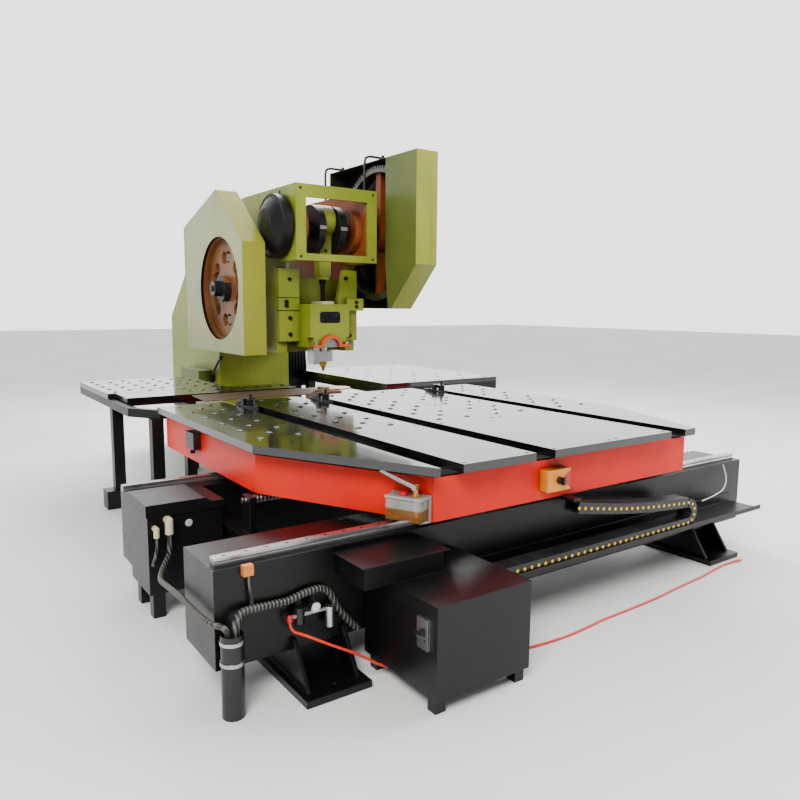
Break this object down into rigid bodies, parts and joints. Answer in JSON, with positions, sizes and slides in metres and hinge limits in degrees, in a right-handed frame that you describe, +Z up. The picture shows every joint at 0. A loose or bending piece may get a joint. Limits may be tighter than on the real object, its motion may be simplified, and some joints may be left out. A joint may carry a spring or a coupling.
{
  "type": "cnc punch press with x-y feeding table",
  "caption": "Deep-throat crank punch press with flywheel and gear guards, fed by a powered X-Y table with ball-transfer plates and sheet clamps.",
  "frame": {"origin": "on the floor, straight under the punch axis, on the underside of the press frame", "axes": "+X right along the front of the table as the operator sees it, +Y from the operator into the press, +Z up"},
  "size_m": [3.9025, 6.02, 2.784],
  "materials": {
    "press_paint": "semi-gloss enamel over cast and welded iron",
    "guard_paint": "enamelled sheet steel",
    "steel": "machined and oiled",
    "black_steel": "blackened steel",
    "drum_black": "gloss black",
    "gear_iron": "orange primer, bare teeth",
    "primer_iron": "orange primer",
    "bronze": "bored bush metal",
    "brass": "turned",
    "clamp_orange": "orange enamel",
    "ivory": "ivory enamel",
    "belt": "dull",
    "motor_grey": "grey enamel",
    "die_steel": "oily browned steel",
    "table_black": "high gloss black",
    "skirt_red": "gloss orange-red enamel",
    "base_black": "satin black",
    "rail_steel": "ground",
    "ball_steel": "polished balls in black cups",
    "yellow_plastic": "moulded",
    "black_plastic": "moulded",
    "clear_plastic": "clear tank with metal pump",
    "grey_grip": "cast",
    "chain_black": "moulded, yellow pin ends",
    "hose_grey": "metal-clad hose",
    "red_rubber": "gloss red hose",
    "orange_plastic": "moulded"
  },
  "bodies": {
    "base": {"press_frame": "press_paint", "head_plate": "press_paint", "bearing_bushes": "bronze", "motor": "motor_grey", "drive_belts": "belt", "belt_guard": "guard_paint", "gear_guard": "guard_paint", "guard_stays": "black_steel", "gibs": "press_paint", "press_bolts": "black_steel", "bolster_plate": "black_steel", "die_block": "die_steel", "finned_unit": "black_steel", "chain_lower": "chain_black", "chain_tray": "base_black", "base_beams": "base_black", "cross_members": "base_black", "x_rails": "rail_steel", "servo_cabinet": "base_black", "control_cabinet": "base_black", "air_regulator": "brass", "terminal_boxes": "orange_plastic", "riser_hose": "belt", "conduits": "hose_grey", "red_hose": "red_rubber", "hose_coupling": "brass", "wing_plates": "table_black", "wing_ball_units": "ball_steel", "wing_frames": "base_black"},
    "saddle": {"table_skirt": "skirt_red", "table_plates": "table_black", "table_ball_units": "ball_steel", "table_frame": "base_black", "rail_carriages": "rail_steel", "lubricator": "clear_plastic", "table_switches": "yellow_plastic", "chain_upper": "chain_black"},
    "clamps": {"clamp_beam": "base_black", "clamp_bodies": "black_steel"},
    "jaws": {"clamp_jaws": "steel"},
    "y_screw_body": {"y_screw": "rail_steel"},
    "x_screw_body": {"x_screw": "rail_steel"},
    "crank": {"crankshaft": "steel", "brake_drum": "drum_black", "bull_gear": "gear_iron"},
    "rod": {"connecting_rod": "press_paint", "ball_screw": "black_steel", "lock_collar": "press_paint"},
    "back_shaft": {"pinion_shaft": "steel", "flywheel": "primer_iron"},
    "motor_rotor": {"motor_pulley": "steel"},
    "ram_body": {"ram": "press_paint", "ball_cap": "ivory", "shank_clamp": "clamp_orange", "punch_holder": "steel", "punch": "brass"},
    "knob": {"selector_knob": "black_plastic"},
    "pump_handle": {"lubricator_handle": "grey_grip"},
    "toggle": {"breaker_toggle": "black_plastic"},
    "lever": {"hand_lever": "black_steel"}
  },
  "joints": [
    {"name": "saddle_slide", "type": "slide", "parent": "base", "child": "saddle", "axis": [1, 0, 0], "range_m": [-0.3, 0.46], "deforming": ["chain_upper", "chain_lower"]},
    {"name": "clamp_slide", "type": "slide", "parent": "saddle", "child": "clamps", "axis": [0, 1, 0], "range_m": [-1.5, 0]},
    {"name": "jaw_hinge", "type": "hinge", "parent": "clamps", "child": "jaws", "pos_m": [0, -0.69, 0.918], "axis": [1, 0, 0], "range_deg": [0, 10]},
    {"name": "y_screw_turn", "type": "hinge", "parent": "saddle", "child": "y_screw_body", "pos_m": [-0.15, 0, 0.774], "axis": [0, 1, 0], "continuous": true},
    {"name": "x_screw_turn", "type": "hinge", "parent": "base", "child": "x_screw_body", "pos_m": [0, -1.9, 0.586], "axis": [1, 0, 0], "continuous": true},
    {"name": "crank_turn", "type": "hinge", "parent": "base", "child": "crank", "pos_m": [0, 0, 2.16], "axis": [1, 0, 0], "continuous": true},
    {"name": "rod_turn", "type": "hinge", "parent": "crank", "child": "rod", "pos_m": [0, 0, 2.23], "axis": [1, 0, 0], "continuous": true},
    {"name": "back_shaft_turn", "type": "hinge", "parent": "base", "child": "back_shaft", "pos_m": [0, 0.44, 1.68429], "axis": [1, 0, 0], "continuous": true},
    {"name": "motor_turn", "type": "hinge", "parent": "base", "child": "motor_rotor", "pos_m": [0, 1.08, 2.08], "axis": [1, 0, 0], "continuous": true},
    {"name": "ram_slide", "type": "slide", "parent": "base", "child": "ram_body", "axis": [0, 0, 1], "range_m": [-0.14, 0]},
    {"name": "knob_turn", "type": "hinge", "parent": "saddle", "child": "knob", "pos_m": [-0.247, -2.83, 0.711], "axis": [0, 1, 0], "range_deg": [-45, 45]},
    {"name": "pump_stroke", "type": "hinge", "parent": "saddle", "child": "pump_handle", "pos_m": [-1.06073, -2.74167, 0.771], "axis": [0.8936, 0.4488, 0], "range_deg": [-25, 0]},
    {"name": "toggle_throw", "type": "hinge", "parent": "base", "child": "toggle", "pos_m": [-1.302, -3.118, 0.312], "axis": [0, 1, 0], "range_deg": [-50, 0]},
    {"name": "lever_swing", "type": "hinge", "parent": "base", "child": "lever", "pos_m": [-0.385, 1.54, 0.842], "axis": [1, 0, 0], "range_deg": [-15, 15]}
  ],
  "couplings": [
    {"joint": "y_screw_turn", "follows": "clamp_slide", "rad_per_m": 314.16},
    {"joint": "x_screw_turn", "follows": "saddle_slide", "rad_per_m": 314.16},
    {"joint": "rod_turn", "follows": "crank_turn", "ratio": -1},
    {"joint": "back_shaft_turn", "follows": "crank_turn", "ratio": -5.75},
    {"joint": "motor_turn", "follows": "crank_turn", "ratio": -30.028}
  ]
}
